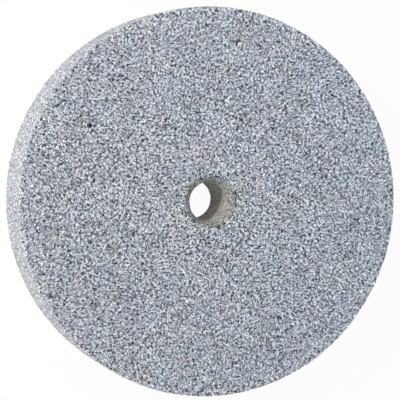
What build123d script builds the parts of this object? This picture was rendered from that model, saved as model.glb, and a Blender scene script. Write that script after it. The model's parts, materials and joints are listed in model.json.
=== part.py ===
from build123d import *
import os

# A bonded abrasive grinding wheel for a bench or wet grinder, pressed and fired as one piece.
# It lies on its back face: the origin is the centre of the bore at the back face, and +Z runs
# along the bore, out of the flared mouth in the front face. All sizes are in millimetres.

# Wheel body
wheel_diameter = 200.0
wheel_width = 40.0
rim_edge_radius = 1.0

# Bore, which slides over the grinder's spindle
bore_diameter = 20.0
back_mouth_radius = 1.5

# Flared mouth of the bore in the front face
mouth_flare = 2.0
mouth_depth = 7.0
mouth_lip_radius = 1.6
mouth_throat_radius = 12.0

wheel_radius = wheel_diameter / 2
bore_radius = bore_diameter / 2
throat_height = wheel_width - mouth_depth


with BuildPart() as grinding_wheel:
    # Half of the wheel's section, from the bore wall out to the rim, turned about the bore axis
    with BuildSketch(Plane.XZ) as section:
        with BuildLine():
            back_inner = (bore_radius, 0)
            back_rim = (wheel_radius, 0)
            front_rim = (wheel_radius, wheel_width)
            front_mouth = (bore_radius + mouth_flare, wheel_width)
            throat = (bore_radius, throat_height)
            Polyline(back_inner, back_rim, front_rim, front_mouth, throat, close=True)
        make_face()
    revolve(axis=Axis.Z)

    # Both edges of the rim are barely broken, as they leave the mould and the dressing tool
    rim_edges = grinding_wheel.edges().filter_by(GeomType.CIRCLE).group_by(SortBy.RADIUS)[-1]
    fillet(rim_edges, rim_edge_radius)

    # The back mouth of the bore is a plain rounding
    back_face = grinding_wheel.faces().sort_by(Axis.Z)[0]
    fillet(back_face.inner_wires().edges(), back_mouth_radius)

    # The front mouth rolls in over a lip, tapers, and blends into the bore wall at its throat
    front_face = grinding_wheel.faces().sort_by(Axis.Z)[-1]
    fillet(front_face.inner_wires().edges(), mouth_lip_radius)
    throat_edges = grinding_wheel.edges().filter_by(GeomType.CIRCLE).filter_by_position(
        Axis.Z, throat_height, throat_height
    )
    fillet(throat_edges, mouth_throat_radius)

grinding_wheel.part.label = "grinding_wheel"

os.makedirs("parts", exist_ok=True)
export_step(grinding_wheel.part, "parts/grinding_wheel.step")
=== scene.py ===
import json
import math

import bpy
import numpy as np
from bpy.props import FloatProperty, FloatVectorProperty, IntProperty, PointerProperty
from mathutils import Matrix, Vector


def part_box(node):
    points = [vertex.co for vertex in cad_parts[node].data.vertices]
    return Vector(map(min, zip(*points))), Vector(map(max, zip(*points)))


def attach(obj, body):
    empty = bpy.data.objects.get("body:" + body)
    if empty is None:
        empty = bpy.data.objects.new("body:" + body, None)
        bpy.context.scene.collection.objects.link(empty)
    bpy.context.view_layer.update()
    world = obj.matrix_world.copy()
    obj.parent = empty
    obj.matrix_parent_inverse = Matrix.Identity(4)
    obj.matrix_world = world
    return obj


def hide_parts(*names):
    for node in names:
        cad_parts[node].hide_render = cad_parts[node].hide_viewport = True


bl_info = {
    "name": "Grinding wheel",
    "version": (1, 0, 0),
    "blender": (4, 5, 0),
    "location": "3D View > Sidebar > Grinding wheel",
    "description": "Makes a thick bonded abrasive wheel, its proud grain and a plain studio",
    "category": "Object",
}

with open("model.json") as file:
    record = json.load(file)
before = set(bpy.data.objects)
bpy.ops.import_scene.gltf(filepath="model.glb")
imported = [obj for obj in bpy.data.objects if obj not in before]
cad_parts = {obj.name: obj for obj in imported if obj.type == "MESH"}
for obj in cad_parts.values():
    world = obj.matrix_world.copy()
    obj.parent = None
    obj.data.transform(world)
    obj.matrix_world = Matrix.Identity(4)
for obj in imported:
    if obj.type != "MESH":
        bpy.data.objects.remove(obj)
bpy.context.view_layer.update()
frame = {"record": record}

MM = 0.001
DEGREE = math.radians(1)
TURN = 2 * math.pi
NODE = "grinding_wheel"
BODY = "root"

# The wheel's own sizes come from the frame
LOW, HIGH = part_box(NODE)
WHEEL_RADIUS = (HIGH.x - LOW.x) / 2
WHEEL_WIDTH = HIGH.z - LOW.z
BORE = next(m for m in frame["record"]["mounts"] if m["name"] == "bore")
BORE_RADIUS = BORE["dims"]["r_mm"] * MM

# Added to the seed, so that each kind of random number has a start of its own
BOND_SEED = 1
PIT_SEED = 2
HOLE_SEED = 5


# Settings


def setting(kind, **fixed):
    """A maker of one kind of setting, called with its name, default and description."""
    def make(name, default, description):
        return kind(name=name, default=default, description=description, **fixed)
    return make


length = setting(FloatProperty, min=0.0, precision=5, subtype="DISTANCE", unit="LENGTH")
spot = setting(FloatVectorProperty, size=2, precision=5, subtype="TRANSLATION", unit="LENGTH")
angle = setting(FloatProperty, subtype="ANGLE", unit="ROTATION")
share = setting(FloatProperty, min=0.0, max=1.0, subtype="FACTOR")
number = setting(FloatProperty, min=0.0)
whole = setting(IntProperty, min=0)
watts = setting(FloatProperty, min=0.0, unit="POWER")
colour = setting(FloatVectorProperty, size=3, min=0.0, max=1.0, subtype="COLOR")


class WheelShape(bpy.types.PropertyGroup):
    """Sizes of the wheel's section and of its worn, pressed surface."""

    rim_edge: length("Rim edge radius", 1.0 * MM, "Rounding of both edges of the rim")
    back_mouth: length("Back mouth radius", 1.5 * MM, "Rounding of the bore at the back face")
    mouth_flare: length("Mouth flare", 2.0 * MM, "How far the mouth opens past the bore")
    mouth_depth: length("Mouth depth", 7.0 * MM, "Depth of the flare from the front face")
    mouth_lip: length("Mouth lip radius", 1.6 * MM, "Rounding of the flare at the front face")
    mouth_throat: length("Mouth throat radius", 12.0 * MM, "Blend from the flare into the bore")
    lip_wear: length("Lip wear", 1.2 * MM, "Wear of the mouth's lip on one side")
    wear_side: angle("Wear side", 150.0 * DEGREE, "Direction of the lip's worn side")
    row_step: length("Row step", 0.97 * MM, "Distance between rings of points")
    column_step: length("Column step", 1.02 * MM, "Distance between points in a ring")
    bond_depth: length("Bond depth", 0.27 * MM, "Depth of the bond below the proud grain")
    relief: length("Grain relief", 0.34 * MM, "From the lowest to the highest grain")
    waviness: length("Waviness", 0.10 * MM, "Unevenness of the pressed faces")
    wave_length: length("Wave length", 14.0 * MM, "Width of the uneven places")
    pit_radius: length("Pit radius", 1.3 * MM, "Radius of the largest open pores")
    pit_depth: length("Pit depth", 0.55 * MM, "Depth of the largest open pores")
    pit_share: share("Pit share", 0.30, "How many places hold an open pore")
    hole_count: whole("Holes", 370, "Holes that fallen grain has left")
    hole_width: length("Hole width", 1.25 * MM, "Width of such a hole")
    shown_width: length("Shown hole width", 1.8 * MM, "Width of the hole that shows most")
    hole_depth: length("Hole depth", 1.2 * MM, "Depth of the hole that shows most")
    shown_hole: spot("Shown hole", (-63.37 * MM, 39.4 * MM), "X and Y of the hole that shows most")
    rim_crumble: number("Rim crumble", 20.0, "How many more holes the rim's edges have")
    mouth_crumble: number("Mouth crumble", 500.0, "How many more the bore's ends have")
    bore_smoothness: share("Bore smoothness", 0.65, "How much flatter the bore wall is")
    seed: whole("Seed", 11, "Start of the random numbers")


class WheelGrain(bpy.types.PropertyGroup):
    """Size and number of the grains that stand proud of the bond."""

    size: length("Grain size", 0.80 * MM, "Mean width of a grain")
    size_spread: share("Size spread", 0.35, "How much the grains differ in size")
    tip_depth: length("Tip depth", 0.20 * MM, "Depth of the lowest tips")
    root_depth: length("Root depth", 0.85 * MM, "Depth that every grain reaches")
    face_count: whole("Grains on a face", 24000, "Proud grains on each face")
    rim_count: whole("Grains on the rim", 24000, "Proud grains on the rim")
    mouth_count: whole("Grains in the mouth", 900, "Proud grains in the flare")
    large_share: share("Large share", 0.09, "Share of the grains that are large")
    large_size: number("Large size", 1.4, "How much larger those grains are")
    middle_tone: share("Middle tone", 0.45, "Tone of most grains")
    tone_spread: number("Tone spread", 1.8, "How much the grains differ in tone")
    tone_power: number("Tone power", 2.4, "How few are far off in tone")
    dark_share: share("Dark share", 0.85, "How many are dark beside the pale ones")
    seed: whole("Seed", 29, "Start of the random numbers")


class WheelColours(bpy.types.PropertyGroup):
    """Colours of the grain, the bond and the bore."""

    white: colour("White grain", (0.95, 0.965, 1.0), "Clear corundum grain")
    pale: colour("Pale grain", (0.534, 0.575, 0.675), "Cloudy grain")
    grey: colour("Blue grey grain", (0.184, 0.199, 0.240), "Grey grain")
    # Dark is the darkest grain's colour, and also the gaps: dark bond with painted shade between
    # grains.
    dark: colour("Dark grain", (0.024, 0.026, 0.032), "Dark grain and gaps")
    # The open pore colour is painted shade: near black for the shaded bottom of a pore or hole.
    pore: colour("Open pore", (0.008, 0.008, 0.010), "Bottom of an open pore")
    film: colour("Dust film", (0.85, 0.80, 0.71), "Tint of the film in the flare")
    dust: colour("Bore dust", (0.645, 0.583, 0.527), "Warm dust on the bore wall")
    # Deep dust is painted bounce light: the dust paled far down the bore, where the wall lies in
    # shade.
    deep_dust_painted_bounce: colour("Deep dust", (1.0, 0.95, 0.88), "Paler dust far down the bore")
    warm_side: colour("Warm side", (1.0, 0.973, 0.935), "Tint of the warmer side and patches")
    cool_side: colour("Cool side", (0.930, 0.973, 1.0), "Tint of the cooler side and patches")
    green_patch: colour("Green patches", (0.97, 1.0, 0.975), "Tint of the greener patches")
    pink_patch: colour("Pink patches", (1.0, 0.965, 0.99), "Tint of the pinker patches")
    cell_size: length("Cell size", 0.58 * MM, "Width of a grain in the bond")
    bond_tone: share("Bond tone", 0.48, "Middle tone of the bond")
    coarse_tone: number("Coarse tone", 0.86, "How much its grains differ in tone")
    fine_tone: number("Fine tone", 0.6, "How much its fine grains differ in tone")
    fleck_tone: number("Fleck tone", 0.75, "How much its flecks differ in tone")


class WheelStudio(bpy.types.PropertyGroup):
    """Camera, lights and floor."""

    lens: number("Lens", 154.86, "Focal length in millimetres")
    distance: length("Camera distance", 0.877, "From the camera to the front face")
    aim: spot("Aim", (-6.717 * MM, 1.347 * MM), "Where the view meets the front face")
    lean_left: angle("Lean to the left", 16.071 * DEGREE, "Camera off the wheel's axis")
    lean_up: angle("Lean up", 2.898 * DEGREE, "Camera off the wheel's axis")
    key_turn: angle("Key turn", 30.0 * DEGREE, "From the left towards the top")
    key_height: angle("Key height", 38.2 * DEGREE, "Angle above the floor")
    key_distance: length("Key distance", 1.6, "From the wheel to the lamp")
    key_size: length("Key size", 0.26, "Width of the lamp")
    key_power: watts("Key power", 15.2, "Soft lamp at the upper left")
    side_turn: angle("Side turn", -14.0 * DEGREE, "From the left towards the top")
    side_height: angle("Side height", 12.0 * DEGREE, "Angle above the floor")
    side_distance: length("Side distance", 1.2, "From the wheel to the lamp")
    side_size: length("Side size", 0.6, "Width of the lamp")
    side_power: watts("Side power", 5.1, "Low soft lamp at the left")
    lamp_colour: colour("Lamp colour", (1.0, 0.99, 0.97), "Warm white of both lamps")
    sky: number("Sky", 0.65, "Strength of the even light")
    sky_colour: colour("Sky colour", (0.96, 0.98, 1.0), "Cool white of the even light")
    floor_tone: share("Floor tone", 0.88, "How pale the matte floor is")
    floor_glow: share("Floor glow", 0.95, "How white the camera sees the floor")
    floor_reach: length("Floor reach", 6.0, "From the axis to the floor's sides")


# Noise

# Odd numbers that mix bits well
MIX_START = 0x7F4A7C15
MIX_SEED = 0x9E3779B1
MIX_AXES = (0x85EBCA6B, 0xC2B2AE35, 0x27D4EB2F)
MIX_ROUND = 0x2C1B3C6D
ALL_BITS = 0xFFFFFFFF


def unit_noise(cells, seed):
    """A steady random number from 0 to 1 for each whole-number place, by mixing its bits."""
    start = (seed * MIX_SEED + MIX_START) & ALL_BITS
    mixed = np.full(cells.shape[:-1], start, np.uint32)
    for axis, factor in enumerate(MIX_AXES):
        mixed ^= cells[..., axis].astype(np.int64).astype(np.uint32) * np.uint32(factor)
        mixed ^= mixed >> np.uint32(15)
        mixed *= np.uint32(MIX_ROUND)
        mixed ^= mixed >> np.uint32(13)
    return mixed.astype(float) / 2.0**32


def eased(part):
    """The same from 0 to 1, but level at both ends: three times the square less twice the cube."""
    return part * part * (3 - 2 * part)


def smooth_step(low, high, value):
    """From 0 at low to 1 at high, level at both ends."""
    return eased(np.clip((value - low) / (high - low), 0, 1))


def cloud(points, spacing, seed):
    """Smooth noise from 0 to 1: the random numbers of the eight corners of the lattice cell
    round each point, blended by its place in the cell."""
    scaled = points / spacing
    low = np.floor(scaled)
    part = eased(scaled - low)
    total = np.zeros(len(points))
    for corner in np.ndindex(2, 2, 2):
        weight = np.prod(np.where(corner, part, 1 - part), axis=1)
        total += weight * unit_noise(low + corner, seed)
    return total


def pits(points, spacing, amount, seed):
    """Round hollows from 0 to 1: the given share of lattice cells hold one each, at a random
    place, of random reach and as deep as it is wide, and a point takes the deepest one that
    reaches it."""
    least, spread = 0.15, 0.35
    scaled = points / spacing
    low = np.floor(scaled)
    deepest = np.zeros(len(points))
    for corner in np.ndindex(3, 3, 3):
        cell = low + corner - 1
        centre = cell + np.stack([unit_noise(cell, seed + k) for k in range(3)], axis=1)
        reach = least + spread * unit_noise(cell, seed + 3)
        there = unit_noise(cell, seed + 4) < amount
        near = 1 - np.linalg.norm(scaled - centre, axis=1) / reach
        depth = np.where(there, np.clip(near, 0, 1), 0) * reach / (least + spread)
        deepest = np.maximum(deepest, depth)
    return eased(deepest)


# The wheel's section, turned round the axis


def section(shape):
    """The arcs of the wheel's closed section: the rim's back and front edges, the mouth's lip and
    throat, and the back mouth, each (centre, radius, first angle, last angle) of its outward
    normal, which turns once round from straight down. Straight lines join the arcs."""
    radius, width, bore = WHEEL_RADIUS, WHEEL_WIDTH, BORE_RADIUS
    edge, back, lip, throat = shape.rim_edge, shape.back_mouth, shape.mouth_lip, shape.mouth_throat
    lean = math.atan2(shape.mouth_flare, shape.mouth_depth)
    lip_r = bore + shape.mouth_flare + lip * (1 - math.sin(lean)) / math.cos(lean)
    throat_z = width - shape.mouth_depth - throat * math.tan(lean / 2)
    down, out, up, cone, inward = -TURN / 4, 0.0, TURN / 4, TURN / 2 - lean, TURN / 2
    return [
        ((radius - edge, edge), edge, down, out),
        ((radius - edge, width - edge), edge, out, up),
        ((lip_r, width - lip), lip, up, cone),
        ((bore + throat, throat_z), throat, cone, inward),
        ((bore + back, back), back, inward, TURN + down),
    ]


def pointing(angle):
    """The cosine and the sine of each angle."""
    return np.stack([np.cos(angle), np.sin(angle)], axis=-1)


def on_arc(centre, radius, angle):
    """Places (r, z) on an arc round its centre."""
    return np.array(centre) + radius * pointing(angle)


def section_rows(shape):
    """Rows of the section: (r, z, normal angle), taken along each arc and then along the straight
    line to the start of the next arc, at even steps of length."""
    arcs = section(shape)
    rows = []
    for (centre, radius, first, last), following in zip(arcs, arcs[1:] + arcs[:1]):
        steps = max(2, math.ceil(radius * (last - first) / shape.row_step))
        angle = np.linspace(first, last, steps + 1)
        bend = on_arc(centre, radius, angle)
        rows.append(np.column_stack([bend, angle]))
        gap = on_arc(*following[:3]) - bend[-1]
        steps = max(1, round(np.linalg.norm(gap) / shape.row_step))
        line = bend[-1] + np.arange(1, steps)[:, None] / steps * gap
        rows.append(np.column_stack([line, np.full(len(line), last)]))
    return np.concatenate(rows)


def scattered(rows, weights, count, rng):
    """Random places on the surface that rows of the section make round the axis, even by area
    times weight, with the outward normals there."""
    steps = np.linalg.norm(np.diff(rows[:, :2], axis=0), axis=1)
    area = steps * (rows[1:, 0] + rows[:-1, 0]) / 2 * (weights[1:] + weights[:-1]) / 2
    total = np.concatenate([[0], np.cumsum(area)])
    at = rng.random(count) * total[-1]
    r, z, lean = (np.interp(at, total, rows[:, k]) for k in range(3))
    ring = pointing(TURN * rng.random(count))
    seats = np.column_stack([ring * r[:, None], z])
    return seats, np.column_stack([ring * np.cos(lean)[:, None], np.sin(lean)])


def stitch(first_a, count_a, first_b, count_b):
    """Triangles of the band between two closed rings of evenly spaced points: each step of ring a
    gets the point of ring b nearest to its middle, and the steps of ring b fill what is left."""
    step_a = np.arange(count_a)
    apex_b = np.rint((step_a + 0.5) / count_a * count_b).astype(int)
    step_b = np.arange(apex_b[0], apex_b[0] + count_b)
    apex_a = np.searchsorted(apex_b, step_b, side="right")
    on_a = np.stack([step_a % count_a, (step_a + 1) % count_a], axis=1) + first_a
    on_b = np.stack([step_b % count_b, (step_b + 1) % count_b], axis=1) + first_b
    return np.concatenate([
        np.column_stack([on_a[:, 0], on_a[:, 1], first_b + apex_b % count_b]),
        np.column_stack([on_b[:, 1], on_b[:, 0], first_a + apex_a % count_a]),
    ])


def revolve_section(shape):
    """The wheel's surface as rings of points, one for each row of the section: a ring has as many
    points as its length holds column steps, each moved a little along the ring, and along the
    section where that is straight. Gives the points, normals and triangles, the rows, the row of
    each point, and the band between rows of each triangle."""
    fewest, jitter, level = 48, 0.3, 1e-6
    rng = np.random.default_rng(shape.seed)
    rows = section_rows(shape)
    counts = np.maximum(fewest, np.rint(TURN * rows[:, 0] / shape.column_step)).astype(int)
    firsts = np.cumsum(counts) - counts
    row_of = np.repeat(np.arange(len(rows)), counts)
    column = np.arange(counts.sum()) - firsts[row_of]
    angle = (column + rng.uniform(-jitter, jitter, len(column))) / counts[row_of] * TURN
    slide = rng.uniform(-jitter, jitter, len(column))[:, None]
    here, ahead, behind = rows[row_of], rows[(row_of + 1) % len(rows)], rows[row_of - 1]
    straight = (np.abs(ahead[:, 2] - behind[:, 2]) < level)[:, None]
    moved = here[:, :2] + np.where(straight, slide, 0) * (ahead[:, :2] - behind[:, :2]) / 2
    ring = pointing(angle)
    points = np.column_stack([moved[:, :1] * ring, moved[:, 1]])
    normals = np.column_stack([np.cos(here[:, 2:]) * ring, np.sin(here[:, 2])])
    rings = list(zip(firsts, counts))
    bands = [stitch(*this, *after) for this, after in zip(rings, rings[1:] + rings[:1])]
    band_of = np.repeat(np.arange(len(rows)), [len(band) for band in bands])
    return points, normals, np.concatenate(bands), rows, row_of, band_of


# Wear, dust and tone, by the place on the wheel


def lip_wear(shape, points):
    """How much the lip of the front mouth is worn back: most on one side, nothing on the other,
    by a cosine of the angle from that side, and fading out over the face and down the flare."""
    past_lip, before_lip, down_flare = 1.2 * MM, 0.5 * MM, 0.3
    angle = np.arctan2(points[:, 1], points[:, 0]) - shape.wear_side
    radius = np.hypot(points[:, 0], points[:, 1])
    lip = BORE_RADIUS + shape.mouth_flare + shape.mouth_lip
    over = smooth_step(lip + past_lip, lip - before_lip, radius)
    down = smooth_step(shape.mouth_depth, down_flare * shape.mouth_depth,
                       WHEEL_WIDTH - points[:, 2])
    return shape.lip_wear * (0.5 + 0.5 * np.cos(angle)) * over * down


def bore_masks(shape, points):
    """How thick the film of warm dust is over the flare and round it, and where the dust coats
    the smooth moulded wall, by the distance from the axis and the depth below the front face."""
    halo_film, halo_reach = 0.16, 2.1
    past_mouth, before_mouth = 1.2 * MM, 0.2 * MM
    coat_start, coat_full = 0.70, 1.5
    flare_dust, wall_dust = 0.10, 0.70
    radius = np.hypot(points[:, 0], points[:, 1])
    depth = (WHEEL_WIDTH - points[:, 2]) / shape.mouth_depth
    mouth = BORE_RADIUS + shape.mouth_flare
    halo = halo_film * smooth_step(halo_reach * mouth, mouth, radius)
    flare = smooth_step(mouth + past_mouth, mouth - before_mouth, radius)
    low = smooth_step(coat_start, coat_full, depth)
    return {"bore_film": np.maximum(halo, flare),
            "bore_dust": flare * (flare_dust + wall_dust * low)}


def bore_depth(points):
    """How far down the bore a point is, from 0 in the upper part to 1 past the middle: how far
    painted bounce light pales the dust on the shaded wall there.
    """
    start, full = 0.35 * WHEEL_WIDTH, 0.6 * WHEEL_WIDTH
    return smooth_step(start, full, WHEEL_WIDTH - points[:, 2])


def settled(shape, points, bond):
    """How deep the surface lies below the wheel's true size: the bond's own depth, broad waves
    and round pits, all of them flatter under the bore's dust, and then the wear of the lip."""
    waves = shape.waviness * cloud(points, shape.wave_length, shape.seed)
    hollows = pits(points, 2 * shape.pit_radius, shape.pit_share, shape.seed + PIT_SEED)
    flatter = 1 - shape.bore_smoothness * bore_masks(shape, points)["bore_dust"]
    return (bond + waves + shape.pit_depth * hollows) * flatter + lip_wear(shape, points)


def fallen_out(shape, points):
    """The points of the surface where a grain has fallen out, and how wide each hole is: the
    points nearest to random places, more of them on the rim's edges and at the bore's ends and
    none on the bore wall, and two points in the wider hole at the front's upper left."""
    edge_turn, wall_margin = 0.3, 0.4 * MM
    rows = section_rows(shape)
    on_edge = np.abs(np.gradient(rows[:, 2])) > edge_turn
    by_bore = rows[:, 0] < WHEEL_RADIUS / 2
    weights = np.where(on_edge, np.where(by_bore, shape.mouth_crumble, shape.rim_crumble), 1.0)
    weights = np.where(rows[:, 0] < BORE_RADIUS + wall_margin, 0, weights)
    rng = np.random.default_rng(shape.seed + HOLE_SEED)
    seats, _ = scattered(rows, weights, shape.hole_count, rng)
    (x, y), apart = shape.shown_hole, shape.shown_width / 4
    shown = [(x, y - apart, WHEEL_WIDTH), (x, y + apart, WHEEL_WIDTH)]
    at = [np.argmin(np.linalg.norm(points - seat, axis=1)) for seat in [*seats, *shown]]
    return at, [shape.hole_width] * len(seats) + [shape.shown_width] * len(shown)


def contrast(points):
    """How far tones differ at a point: most round the bore, and less by the square of the radius
    towards the rim, where handling has dulled the stone."""
    at_axis, lost_at_rim = 1.13, 0.33
    return at_axis - lost_at_rim * (points[:, 0] ** 2 + points[:, 1] ** 2) / WHEEL_RADIUS**2


def beside_neighbours(values, triangles):
    """How far each point's value lies from the mean of the points that it is joined to. On a
    closed surface each neighbour comes just once next in a triangle of the point."""
    points, following = triangles.ravel(), np.roll(triangles, -1, axis=1).ravel()
    return values - np.bincount(points, values[following]) / np.bincount(points)


# Proud grains

OCTAHEDRON = np.array([(1, 0, 0), (-1, 0, 0), (0, 1, 0), (0, -1, 0), (0, 0, 1), (0, 0, -1)], float)
OCTAHEDRON_FACES = np.array([
    (0, 2, 4), (2, 1, 4), (1, 3, 4), (3, 0, 4), (2, 0, 5), (1, 2, 5), (3, 1, 5), (0, 3, 5),
])
CORNERS = len(OCTAHEDRON)

# How far the outermost seats stay from the wheel's side, in rim edge radii
EDGE_MARGIN = 0.4


def random_turns(rng, count):
    """Even random rotation matrices, from random unit quaternions."""
    q = rng.normal(size=(count, 4))
    w, x, y, z = (q / np.linalg.norm(q, axis=1, keepdims=True)).T
    return np.stack([
        1 - 2 * (y * y + z * z), 2 * (x * y - z * w), 2 * (x * z + y * w),
        2 * (x * y + z * w), 1 - 2 * (x * x + z * z), 2 * (y * z - x * w),
        2 * (x * z - y * w), 2 * (y * z + x * w), 1 - 2 * (x * x + y * y),
    ], axis=1).reshape(-1, 3, 3)


def crystals(grain, seats, normals, large, rng):
    """Broken grains: an octahedron for each seat with every corner pulled out by its own amount,
    turned at random, and sunk along the seat's normal until its highest corner lies at a random
    tip depth below the seat. Its lowest corner is then drawn down to the root depth, so that
    every grain sits in the bond."""
    most_odd, least_pull, most_pull, least_tip = 1.6, 0.75, 1.35, 0.01 * MM
    count = len(seats)
    odd = rng.normal(size=count).clip(-most_odd, most_odd)
    size = grain.size / 2 * (1 + grain.size_spread * odd) * np.where(large, grain.large_size, 1)
    pull = rng.uniform(least_pull, most_pull, (count, CORNERS, 1))
    corners = OCTAHEDRON * pull * size[:, None, None]
    corners = np.einsum("nij,nkj->nki", random_turns(rng, count), corners)
    height = np.einsum("nkj,nj->nk", corners, normals)
    tip = grain.tip_depth * rng.random(count) + least_tip
    root = np.maximum(grain.root_depth - tip - np.ptp(height, axis=1), 0)
    corners[np.arange(count), height.argmin(axis=1)] -= normals * root[:, None]
    corners += seats[:, None] - normals[:, None] * (height.max(axis=1) + tip)[:, None, None]
    faces = OCTAHEDRON_FACES + CORNERS * np.arange(count)[:, None, None]
    return corners.reshape(-1, 3), faces.reshape(-1, 3)


def rounded(over, edge):
    """How far a rounded edge has fallen away at a distance past the start of its arc."""
    over = np.clip(over, 0, edge)
    return edge - np.sqrt(edge**2 - over**2)


def face_seats(count, z, up, inner, shape, rng):
    """Seats spread evenly over a face: each turns on by the golden angle, at a radius that leaves
    equal areas, moved a little at random. The outermost follow the rim's rounded edge."""
    golden, drift = math.pi * (3 - math.sqrt(5)), 0.4 * MM
    part = (np.arange(count) + rng.random(count)) / count
    edge = shape.rim_edge
    outer = WHEEL_RADIUS - EDGE_MARGIN * edge
    radius = np.sqrt(inner**2 + (outer**2 - inner**2) * part)
    angle = np.arange(count) * golden + rng.normal(size=count) * drift / radius
    height = z - up * rounded(radius - (WHEEL_RADIUS - edge), edge)
    seats = np.column_stack([radius[:, None] * pointing(angle), height])
    return seats, np.tile([0.0, 0.0, up], (count, 1))


def rim_seats(count, shape, rng):
    """Seats spread evenly over the rim, by the golden ratio round it and even steps across, moved
    a little at random. Those at both sides follow the rounded edges."""
    golden, drift = (math.sqrt(5) - 1) / 2, 0.002
    angle = TURN * ((np.arange(count) * golden) % 1 + rng.normal(size=count) * drift)
    edge = shape.rim_edge
    margin = EDGE_MARGIN * edge
    z = margin + (WHEEL_WIDTH - 2 * margin) * (np.arange(count) + rng.random(count)) / count
    radius = WHEEL_RADIUS - rounded(edge - z, edge) - rounded(z - (WHEEL_WIDTH - edge), edge)
    normals = np.column_stack([pointing(angle), np.zeros(count)])
    return normals * radius[:, None] + [0, 0, 1] * z[:, None], normals


def mouth_seats(count, shape, rng):
    """Seats over the lip and the flare of the mouth, thinning out towards the smooth bore wall,
    between two depths that are counted in mouth depths."""
    lip_turn, thin_start, thin_end = 0.01, 0.7, 1.8
    rows = section_rows(shape)
    faces_in = (rows[:, 2] > TURN / 4 + lip_turn) & (rows[:, 2] <= TURN / 2)
    rows = rows[faces_in & (rows[:, 1] > WHEEL_WIDTH - thin_end * shape.mouth_depth)]
    seats, normals = scattered(rows, np.ones(len(rows)), count, rng)
    depth = (WHEEL_WIDTH - seats[:, 2]) / shape.mouth_depth
    kept = rng.random(count) > smooth_step(thin_start, thin_end, depth)
    return seats[kept], normals[kept]


def kept_inside(points):
    """Moves points past the wheel's true size back onto its faces and rim, as dressing takes off
    grain that stands too high."""
    radius = np.hypot(points[:, 0], points[:, 1])
    inward = np.minimum(1, WHEEL_RADIUS / radius)
    height = np.clip(points[:, 2], 0, WHEEL_WIDTH)
    return np.column_stack([points[:, :2] * inward[:, None], height])


# Flat maps for baking, and meshes


def body_charts(points, triangles, rows, row_of, band_of):
    """Flat map of the whole wheel: the two faces side by side, seen straight, the rim above them
    in two strips, and the bore above the rim, unrolled by angle and by run along the section. A
    band belongs to the part that the normal in its middle faces."""
    map_side, half, rim_low = 4.2 * WHEEL_RADIUS, 1.04 * WHEEL_RADIUS, 2.1 * WHEEL_RADIUS
    margin, strip, bore_stretch = 0.02 * WHEEL_RADIUS, 1.1 * WHEEL_WIDTH, 1.2
    corners = points[triangles]
    angle = np.arctan2(corners[..., 1], corners[..., 0]) % TURN
    angle = np.where(angle < angle.max(axis=1, keepdims=True) - TURN / 2, angle + TURN, angle)
    steps = np.linalg.norm(np.diff(rows[:, :2], axis=0, append=rows[:1, :2]), axis=1)
    along = np.concatenate([[0], np.cumsum(steps)])
    at_row = row_of[triangles]
    at_row = np.where(at_row < band_of[:, None], at_row + len(rows), at_row)
    run = along[np.minimum(at_row, len(rows))]
    normal = np.append(rows[:, 2], rows[0, 2] + TURN)
    middle = ((normal[:-1] + normal[1:]) / 2)[band_of]
    eighth = TURN / 8
    back = (middle < -eighth) | (middle > 5 * eighth)
    rim = (middle >= -eighth) & (middle < eighth)
    front = (middle >= eighth) & (middle < 3 * eighth)
    bore = ~(back | rim | front)
    chart = np.zeros((*triangles.shape, 2))
    chart[front] = corners[front][..., :2] + half
    chart[back] = corners[back][..., :2] * [-1, 1] + [3 * half, half]
    second = (rim & (angle.min(axis=1) > TURN / 2))[:, None]
    x = (angle - np.where(second, TURN / 2, 0)) * WHEEL_RADIUS + margin
    y = rim_low + run - run[rim].min() + np.where(second, strip, 0)
    chart[rim] = np.stack([x, y], axis=-1)[rim]
    x = angle * BORE_RADIUS * bore_stretch + margin
    y = rim_low + 2 * strip + run - run[bore].min()
    chart[bore] = np.stack([x, y], axis=-1)[bore]
    return chart / map_side


def grain_charts(tone):
    """Flat map of scattered grains: each has a square of its own, in order of tone, so neighbours
    are alike. Its upper corner is the middle of the square, its side corners are the middles of
    the sides, and its lower corner is all four outer corners."""
    inset = 0.46
    across = math.ceil(math.sqrt(len(tone)))
    place = np.argsort(np.argsort(tone))
    square = np.stack([place % across, place // across], axis=1) + 0.5
    flat = OCTAHEDRON[OCTAHEDRON_FACES][..., :2]
    lower = (OCTAHEDRON_FACES == CORNERS - 1)[..., None]
    flat = np.where(lower, flat.sum(axis=1, keepdims=True), flat)
    return ((square[:, None, None] + inset * flat) / across).reshape(-1, 3, 2)


def new_object(name, data):
    """An object in the scene, at the origin."""
    made = bpy.data.objects.new(name, data)
    bpy.context.scene.collection.objects.link(made)
    return made


def new_piece(name, points, triangles, material, attributes, charts):
    """One closed mesh object, smooth shaded, with numbers on its points and a map for baking."""
    mesh = bpy.data.meshes.new(name)
    mesh.from_pydata(points, [], triangles, shade_flat=False)
    for key, values in attributes.items():
        layer = mesh.attributes.new(key, "FLOAT", "POINT")
        layer.data.foreach_set("value", values.astype(np.float32))
    layer = mesh.uv_layers.new(name="OFBake")
    layer.uv.foreach_set("vector", charts.astype(np.float32).ravel())
    mesh.materials.append(material)
    piece = new_object(name, mesh)
    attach(piece, BODY)
    return piece


# Shader nodes

# Places of the sockets that a Mix node uses for colours
MIX_INPUTS = (0, 6, 7)
MIX_RESULT = 2


def node_group(name, inputs, outputs):
    """An empty shader group, with what it is given and what it makes. A socket called Vector or
    Color is of that kind, and any other is a number, with its default."""
    group = bpy.data.node_groups.new(name, "ShaderNodeTree")
    for side, labels in (("INPUT", inputs), ("OUTPUT", outputs)):
        for label in labels:
            kind = label if label in ("Vector", "Color") else "Float"
            group.interface.new_socket(name=label, in_out=side, socket_type="NodeSocket" + kind)
    for label, default in inputs.items():
        if default is not None:
            group.interface.items_tree[label].default_value = default
    given, made = group.nodes.new("NodeGroupInput"), group.nodes.new("NodeGroupOutput")
    return group, given.outputs, made.inputs


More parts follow.
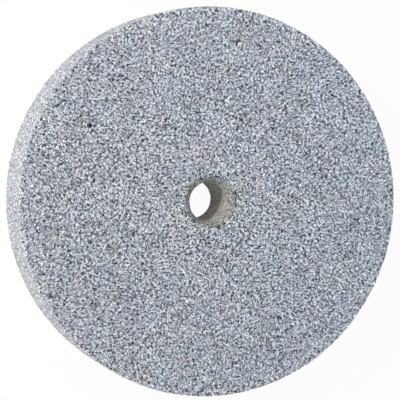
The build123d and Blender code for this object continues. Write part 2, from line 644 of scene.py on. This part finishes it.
def new_node(kind, *values):
    """A new node in the tree that holds the first socket among some values."""
    tree = next(value.id_data for value in values if isinstance(value, bpy.types.NodeSocket))
    return tree.nodes.new("ShaderNode" + kind)


def feed(socket, value):
    """Gives an input socket a link from another socket, or else a number or a colour."""
    if isinstance(value, bpy.types.NodeSocket):
        socket.id_data.links.new(value, socket)
    else:
        socket.default_value = (*value, 1.0) if socket.type == "RGBA" else value


def fed_node(kind, *values):
    """A new node whose first inputs take the given sockets or values."""
    node = new_node(kind, *values)
    for socket, value in zip(node.inputs, values):
        feed(socket, value)
    return node


def math_node(operation, *values, clamp=False):
    """The output of a Math node on sockets or numbers."""
    node = fed_node("Math", *values)
    node.operation = operation
    node.use_clamp = clamp
    return node.outputs[0]


def vector_node(operation, *values):
    """The output of a Vector Math node on sockets or vectors."""
    node = fed_node("VectorMath", *values)
    node.operation = operation
    return node.outputs["Value" if operation in ("LENGTH", "DOT_PRODUCT") else "Vector"]


def map_range(*values, smooth=False):
    """The output of a Map Range node: a value, the ends of its range and what they become."""
    node = fed_node("MapRange", *values)
    node.interpolation_type = "SMOOTHSTEP" if smooth else "LINEAR"
    return node.outputs[0]


def mix_colour(factor, first, second, blend="MIX"):
    """The output of a colour Mix node on sockets, numbers or colours."""
    values = (factor, first, second)
    node = new_node("Mix", *values)
    node.data_type = "RGBA"
    node.blend_type = blend
    for at, value in zip(MIX_INPUTS, values):
        feed(node.inputs[at], value)
    return node.outputs[MIX_RESULT]


def times(first, second):
    """One colour multiplied by another."""
    return mix_colour(1.0, first, second, "MULTIPLY")


def ramp_node(value, stops):
    """The output of a colour ramp with (place, colour) stops."""
    node = fed_node("ValToRGB", value)
    marks = node.color_ramp.elements
    for place, _ in stops[len(marks):]:
        marks.new(place)
    for mark, (place, rgb) in zip(marks, stops):
        mark.position = place
        mark.color = (*rgb, 1.0)
    return node.outputs[0]


def texture(kind, place, scale):
    """A texture node at a place, with so many features per metre."""
    node = new_node("Tex" + kind, place)
    feed(node.inputs["Vector"], place)
    feed(node.inputs["Scale"], scale)
    return node


def random_parts(node):
    """The three numbers that a texture's colour holds."""
    return fed_node("SeparateColor", node.outputs["Color"]).outputs


def attribute(place, name):
    """A number stored on the piece's points."""
    node = new_node("Attribute", place)
    node.attribute_name = name
    return node.outputs["Fac"]


def place_group(group, **values):
    """One use of a shader group, with its own values."""
    node = new_node("Group", *values.values())
    node.node_tree = group
    for key, value in values.items():
        feed(node.inputs[key.replace("_", " ")], value)
    return node.outputs


def shared_group(name, maker, colours):
    """A shader group that more than one material uses, made when it is first asked for."""
    return bpy.data.node_groups.get(name) or maker(name, colours)


# Shader groups


def grain_group():
    """Grain in section: cells with gaps between them, which are dark bond and painted shade between
    the grains, and with tones from -1 to 1. The tone is the cube of an even random number, so most
    cells are alike and a few are far off. A cell is as high as its tone, less by the distance from
    its middle."""
    fall = 0.6
    group, given, made = node_group(
        "abrasive_grain", {"Vector": None, "Cells per metre": 1600.0, "Gap width": 0.1},
        ["Tone", "Gaps", "Height"])
    cells, edges = (texture("Voronoi", given["Vector"], given["Cells per metre"])
                    for _ in range(2))
    edges.feature = "DISTANCE_TO_EDGE"
    gaps = map_range(edges.outputs["Distance"], 0.0, given["Gap width"], 1.0, 0.0, smooth=True)
    even = math_node("MULTIPLY_ADD", random_parts(cells)[0], 2.0, -1.0)
    tone = math_node("MULTIPLY", math_node("MULTIPLY", even, even), even)
    height = math_node("MULTIPLY_ADD", cells.outputs["Distance"], -fall, tone)
    for label, value in (("Tone", tone), ("Gaps", gaps), ("Height", height)):
        feed(made[label], value)
    return group


def pore_shade_group():
    """Painted shade of open pores: small round dark spots with no depth of their own, at random
    places in some of the cells, each from half to one and a half of the pore radius."""
    smallest, flat_share = 0.5, 0.6
    group, given, made = node_group("open_pores", {
        "Vector": None, "Pores per metre": 400.0, "Pore radius": 0.25, "Pore share": 0.38,
    }, ["Hollow"])
    cells = texture("Voronoi", given["Vector"], given["Pores per metre"])
    chance, extra, _ = random_parts(cells)
    size = math_node("MULTIPLY", given["Pore radius"], math_node("ADD", extra, smallest))
    flat = math_node("MULTIPLY", size, flat_share)
    near = map_range(cells.outputs["Distance"], flat, size, 1.0, 0.0, smooth=True)
    there = math_node("LESS_THAN", chance, given["Pore share"])
    feed(made["Hollow"], math_node("MULTIPLY", near, there))
    return group


def tint_and_painted_light_group(name, colours):
    """The slow change of tint over the wheel: a drift from one side to the other, warmer still on
    the dusty rim, a paler edge, and broad patches of warmer, cooler, greener, pinker, paler and
    darker stone. It also paints light: the stone is paler towards the upper right, as painted light
    for the lamps' falloff. Places are counted in wheel radii from the axis."""
    middle, drift, rise = 0.67, 0.33, 0.03
    rim_start, rim_full = 0.982, 0.993
    edge_start, edge_full = 0.88, 0.98
    side_swing, shade_swing, hue_swing = 4.2, 0.5, 5.0
    group, given, made = node_group(name, {
        "Vector": None, "Color": None, "Green": 0.0, "Patches per metre": 110.0,
        "Patch strength": 0.45, "Rim warmth": 0.4, "Edge paleness": 0.055,
    }, ["Color"])
    noise = texture("Noise", given["Vector"], given["Patches per metre"])
    feed(noise.inputs["Detail"], 1.0)
    swing = [math_node("MULTIPLY", math_node("SUBTRACT", part, 0.5), given["Patch strength"])
             for part in random_parts(noise)]
    flat = vector_node("MULTIPLY", given["Vector"], (1 / WHEEL_RADIUS, 1 / WHEEL_RADIUS, 0.0))
    out = vector_node("LENGTH", flat)
    warmer = map_range(out, rim_start, rim_full, 0.0, given["Rim warmth"])
    paler = map_range(out, edge_start, edge_full, 0.0, given["Edge paleness"])
    side = math_node("ADD", vector_node("DOT_PRODUCT", flat, (drift, 0, 0)), middle)
    side = math_node("SUBTRACT", side, warmer)
    side = math_node("MULTIPLY_ADD", swing[0], side_swing, side, clamp=True)
    shade = math_node("MULTIPLY_ADD", swing[1], shade_swing, 1.0)
    # Painted light: the rise makes the stone paler towards the upper right, as the lamps' falloff
    # would.
    for more in (vector_node("DOT_PRODUCT", flat, (rise, rise, 0)), paler):
        shade = math_node("ADD", shade, more)
    hue = math_node("MULTIPLY_ADD", swing[2], hue_swing, 0.5)
    hue = math_node("SUBTRACT", hue, given["Green"], clamp=True)
    tint = times(mix_colour(side, colours.warm_side, colours.cool_side),
                 mix_colour(hue, colours.green_patch, colours.pink_patch))
    feed(made["Color"], times(given["Color"], times(tint, shade)))
    return group


def mix_group(name, colours):
    """The colours of the grain mix, from dark to white, by tone."""
    group, given, made = node_group(name, {"Tone": 0.5}, ["Color"])
    feed(made["Color"], ramp_node(given["Tone"], [
        (0.0, colours.dark), (0.27, colours.grey), (0.62, colours.pale), (0.95, colours.white),
    ]))
    return group


def dust_group(name, colours):
    """The bore's dust over a colour: a warm film over the grain of the flare, and an uneven coat on
    the moulded wall, paled further down by painted bounce light on the shaded deep wall."""
    low, high, least, most_cover, most_shade = 0.38, 0.62, 0.7, 1.1, 1.3
    group, given, made = node_group(name, {
        "Vector": None, "Color": None, "Film": 0.0, "Dust": 0.0, "Depth": 0.0,
        "Mottles per metre": 420.0,
    }, ["Color"])
    noise = texture("Noise", given["Vector"], given["Mottles per metre"])
    feed(noise.inputs["Detail"], 2.0)
    cover, shade = (map_range(part, low, high, least, most)
                    for part, most in zip(random_parts(noise), (most_cover, most_shade)))
    cover = math_node("MULTIPLY", given["Dust"], cover)
    film = times(given["Color"], colours.film)
    base = mix_colour(given["Film"], given["Color"], film)
    # Painted bounce light: the dust turns paler further down the shaded bore wall.
    dust = times(mix_colour(given["Depth"], colours.dust, colours.deep_dust_painted_bounce), shade)
    feed(made["Color"], mix_colour(cover, base, dust))
    return group


# Materials


def new_material(name, roughness):
    """A material, the inputs of its Principled shader, and its nodes."""
    material = bpy.data.materials.new(name)
    material.use_nodes = True
    nodes = material.node_tree.nodes
    shader = nodes["Principled BSDF"].inputs
    feed(shader["Roughness"], roughness)
    return material, shader, nodes


def grain_colour(tone, colours):
    """The colour of grain of the given tone."""
    return place_group(shared_group("grain_mix", mix_group, colours), Tone=tone)["Color"]


def dusted(place, base, colours):
    """A colour under the bore's dust, as far as the piece's points say."""
    group = shared_group("bore_dust", dust_group, colours)
    film, dust, depth = (attribute(place, "bore_" + key) for key in ("film", "dust", "depth"))
    return place_group(group, Vector=place, Color=base, Film=film, Dust=dust, Depth=depth)["Color"]


def under_tint_and_painted_light(place, base, colours):
    """A colour under the broad tints and the painted light, greener where the film is and the dust
    isn't.
    """
    film_green, dust_green = 5.0, 6.0
    group = shared_group("broad_tint", tint_and_painted_light_group, colours)
    film = math_node("MULTIPLY", attribute(place, "bore_film"), film_green)
    green = math_node("MULTIPLY_ADD", attribute(place, "bore_dust"), -dust_green, film, clamp=True)
    return place_group(group, Vector=place, Color=base, Green=green)["Color"]


def stone_material(colours):
    """The wheel's body: grain in section, flecks, the dust on the bore wall, and painted shade in
    the pores, the holes and the gaps between grains.
    """
    gap, fine_gap, finer = 0.07, 0.12, 1.9
    hole_start, hole_full = 0.15, 0.35
    bump_strength, bump_height = 0.5, 0.15 * MM
    material, shader, nodes = new_material("bonded_abrasive", roughness=0.9)
    place = nodes.new("ShaderNodeTexCoord").outputs["Object"]
    cells = 1 / colours.cell_size
    grain = grain_group()
    coarse = place_group(grain, Vector=place, Cells_per_metre=cells, Gap_width=gap)
    fine = place_group(grain, Vector=place, Cells_per_metre=finer * cells, Gap_width=fine_gap)
    swing = math_node("MULTIPLY", coarse["Tone"], colours.coarse_tone)
    swing = math_node("MULTIPLY_ADD", fine["Tone"], colours.fine_tone, swing)
    swing = math_node("MULTIPLY_ADD", attribute(place, "fleck"), colours.fleck_tone, swing)
    tone = math_node("MULTIPLY_ADD", swing, attribute(place, "contrast"), colours.bond_tone)
    # The gaps go dark: dark bond and painted shade between the grains.
    base = mix_colour(coarse["Gaps"], grain_colour(tone, colours), colours.dark)
    # Painted shade of pores: dark spots where pores would hold shade.
    pore_shade = place_group(pore_shade_group(), Vector=place)["Hollow"]
    base = mix_colour(pore_shade, base, colours.pore)
    base = dusted(place, base, colours)
    # The holes are real hollows; their near black colour is painted shade inside them.
    hole = map_range(attribute(place, "hole"), hole_start, hole_full, 0.0, 1.0)
    base = mix_colour(hole, base, colours.pore)
    feed(shader["Base Color"], under_tint_and_painted_light(place, base, colours))
    bump = new_node("Bump", place)
    feed(bump.inputs["Strength"], bump_strength)
    feed(bump.inputs["Distance"], bump_height)
    feed(bump.inputs["Height"], coarse["Height"])
    feed(shader["Normal"], bump.outputs[0])
    return material


def crystal_material(colours):
    """The proud grains: each has its own tone, and their broken faces are a little glossy."""
    corundum_ior = 1.76
    material, shader, nodes = new_material("abrasive_crystal", roughness=0.34)
    place = nodes.new("ShaderNodeTexCoord").outputs["Object"]
    feed(shader["IOR"], corundum_ior)
    base = grain_colour(attribute(place, "grain_tone"), colours)
    base = under_tint_and_painted_light(place, dusted(place, base, colours), colours)
    feed(shader["Base Color"], base)
    return material


def seen_factor(nodes):
    """One for what the camera sees straight, in a reflection or through glass, else nothing."""
    path = nodes.new("ShaderNodeLightPath").outputs
    some = math_node("ADD", path["Is Camera Ray"], path["Is Glossy Ray"], clamp=True)
    return math_node("ADD", some, path["Is Transmission Ray"], clamp=True)


def floor_material(studio):
    """A pale matte floor that keeps the shadow, and that the camera sees nearly white."""
    material, shader, nodes = new_material("pale_floor", roughness=1.0)
    feed(shader["Base Color"], [studio.floor_tone] * 3)
    feed(shader["Specular IOR Level"], 0.0)
    glow = math_node("MULTIPLY", seen_factor(nodes), studio.floor_glow)
    matte = nodes["Principled BSDF"].outputs[0]
    white = nodes.new("ShaderNodeEmission").outputs[0]
    mixed = fed_node("MixShader", glow, matte, white)
    feed(nodes["Material Output"].inputs["Surface"], mixed.outputs[0])
    return material


# Studio


def add_floor(studio):
    """A square pale floor under the wheel."""
    reach = studio.floor_reach
    mesh = bpy.data.meshes.new("floor")
    corners = [(-reach, -reach, 0), (reach, -reach, 0), (reach, reach, 0), (-reach, reach, 0)]
    mesh.from_pydata(corners, [], [(0, 1, 2, 3)])
    mesh.materials.append(floor_material(studio))
    floor = new_object("floor", mesh)


def add_lamp(studio, name):
    """A soft square lamp that looks at the wheel's centre, from the left, turned towards the top
    and raised above the floor by its two angles."""
    turn, height, distance, size, power = (
        getattr(studio, name + key) for key in ("_turn", "_height", "_distance", "_size", "_power"))
    direction = Vector((-math.cos(turn) * math.cos(height), math.sin(turn) * math.cos(height),
                        math.sin(height)))
    data = bpy.data.lights.new(name + "_lamp", "AREA")
    data.size = size
    data.energy = power
    data.color = studio.lamp_colour
    lamp = new_object(name + "_lamp", data)
    lamp.location = Vector((0, 0, WHEEL_WIDTH / 2)) + direction * distance
    lamp.rotation_mode = "QUATERNION"
    lamp.rotation_quaternion = direction.to_track_quat("Z", "Y")


def add_sky(studio):
    """Even light from all round, which the camera sees as white."""
    world = bpy.data.worlds.new("even_sky")
    world.use_nodes = True
    nodes = world.node_tree.nodes
    sky = nodes["Background"].inputs
    feed(sky["Color"], studio.sky_colour)
    strength = math_node("MULTIPLY_ADD", seen_factor(nodes), 1.0 - studio.sky, studio.sky)
    feed(sky["Strength"], strength)
    bpy.context.scene.world = world


def add_camera(studio):
    """The camera at the photograph's viewing angle: off the wheel's axis by its two leans, with
    the wheel's Y axis upright in the picture, and aimed at a place on the front face."""
    sensor, nearest, farthest = 36, 0.05, 50
    left, rise = studio.lean_left, studio.lean_up
    back = Vector((-math.sin(left) * math.cos(rise), math.sin(rise),
                   math.cos(left) * math.cos(rise)))
    right = Vector((0, 1, 0)).cross(back).normalized()
    data = bpy.data.cameras.new("camera")
    data.sensor_width = sensor
    data.lens = studio.lens
    data.clip_start = nearest
    data.clip_end = farthest
    camera = new_object("camera", data)
    camera.matrix_world = Matrix((right, back.cross(right), back)).transposed().to_4x4()
    camera.location = Vector((*studio.aim, WHEEL_WIDTH)) + back * studio.distance
    bpy.context.scene.camera = camera


class WHEEL_OT_stage(bpy.types.Operator):
    """Set the pale floor, the soft lamps, the even sky and the camera"""

    bl_idname = "grinding_wheel.stage"
    bl_label = "Set studio"

    def execute(self, context):
        studio = context.scene.wheel_studio
        add_floor(studio)
        add_lamp(studio, "key")
        add_lamp(studio, "side")
        add_sky(studio)
        add_camera(studio)
        context.scene.view_settings.view_transform = "Standard"
        return {"FINISHED"}


# Pieces


class WHEEL_OT_body(bpy.types.Operator):
    """Make the bonded body of the wheel, with its bore, pores and uneven pressed surface"""

    bl_idname = "grinding_wheel.body"
    bl_label = "Make wheel body"

    def execute(self, context):
        shape = context.scene.wheel_shape
        least_depth = 0.02 * MM
        points, normals, triangles, rows, row_of, band_of = revolve_section(shape)
        charts = body_charts(points, triangles, rows, row_of, band_of)
        values = bore_masks(shape, points)
        rng = np.random.default_rng(shape.seed + BOND_SEED)
        bond = shape.bond_depth + shape.relief * (rng.random(len(points)) - 0.5)
        fleck = beside_neighbours(rng.uniform(-1, 1, len(points)) ** 3, triangles)
        hole = np.zeros(len(points))
        at, widths = fallen_out(shape, points)
        hole[at] = np.array(widths) / shape.shown_width
        depth = np.maximum(settled(shape, points, bond), least_depth) + shape.hole_depth * hole
        points -= normals * depth[:, None]
        values |= {"bore_depth": bore_depth(points), "hole": hole, "fleck": fleck,
                   "contrast": contrast(points)}
        material = stone_material(context.scene.wheel_colours)
        piece = new_piece("wheel_body", points, triangles, material, values, charts)
        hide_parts(NODE)
        return {"FINISHED"}


class WHEEL_OT_grain(bpy.types.Operator):
    """Scatter the grains that stand proud of the bond over the faces, the rim and the mouth"""

    bl_idname = "grinding_wheel.grain"
    bl_label = "Scatter proud grain"

    def execute(self, context):
        shape, grain = context.scene.wheel_shape, context.scene.wheel_grain
        rng = np.random.default_rng(grain.seed)
        material = crystal_material(context.scene.wheel_colours)
        lip_part, back_part = 0.7, 0.8
        front_start = BORE_RADIUS + shape.mouth_flare + lip_part * shape.mouth_lip
        back_start = BORE_RADIUS + back_part * shape.back_mouth
        places = {
            "front_grain": face_seats(grain.face_count, WHEEL_WIDTH, 1.0, front_start, shape, rng),
            "back_grain": face_seats(grain.face_count, 0.0, -1.0, back_start, shape, rng),
            "rim_grain": rim_seats(grain.rim_count, shape, rng),
            "mouth_grain": mouth_seats(grain.mouth_count, shape, rng),
        }
        surface = revolve_section(shape)[0]
        holes = list(zip(*fallen_out(shape, surface)))
        for name, (seats, normals) in places.items():
            kept = np.all([np.linalg.norm(seats - surface[at], axis=1) > width / 2
                           for at, width in holes], axis=0)
            seats, normals = seats[kept], normals[kept]
            seats -= normals * settled(shape, seats, 0.0)[:, None]
            large = rng.random(len(seats)) < grain.large_share
            points, faces = crystals(grain, seats, normals, large, rng)
            points = kept_inside(points)
            swing = rng.uniform(-grain.dark_share, 1, len(seats))
            swing = np.sign(swing) * np.abs(swing) ** np.where(large, 1.0, grain.tone_power)
            tone = grain.middle_tone + grain.tone_spread * swing * contrast(seats)
            values = {"grain_tone": np.repeat(tone, CORNERS), **bore_masks(shape, points)}
            new_piece(name, points, faces, material, values, grain_charts(tone))
        return {"FINISHED"}


class WHEEL_PT_panel(bpy.types.Panel):
    """The wheel's sizes and colours, and the steps that make it."""

    bl_label = "Grinding wheel"
    bl_idname = "WHEEL_PT_panel"
    bl_space_type = "VIEW_3D"
    bl_region_type = "UI"
    bl_category = "Grinding wheel"

    def draw(self, context):
        for step in STEPS:
            self.layout.operator(step.bl_idname)
        for key, group in GROUPS.items():
            box = self.layout.box()
            for name in group.__annotations__:
                box.prop(getattr(context.scene, key), name)


GROUPS = {"wheel_shape": WheelShape, "wheel_grain": WheelGrain, "wheel_colours": WheelColours,
          "wheel_studio": WheelStudio}
STEPS = (WHEEL_OT_stage, WHEEL_OT_body, WHEEL_OT_grain)
CLASSES = (*GROUPS.values(), *STEPS, WHEEL_PT_panel)


def register():
    """Makes the classes and the scene's settings known."""
    for cls in CLASSES:
        bpy.utils.register_class(cls)
    for key, group in GROUPS.items():
        setattr(bpy.types.Scene, key, PointerProperty(type=group))


def unregister():
    """Takes the settings and the classes away again."""
    for key in GROUPS:
        delattr(bpy.types.Scene, key)
    for cls in reversed(CLASSES):
        bpy.utils.unregister_class(cls)


def main():
    """Makes the whole scene in order."""
    register()
    bpy.ops.grinding_wheel.stage()
    bpy.ops.grinding_wheel.body()
    bpy.ops.grinding_wheel.grain()


if __name__ == "__main__":
    main()
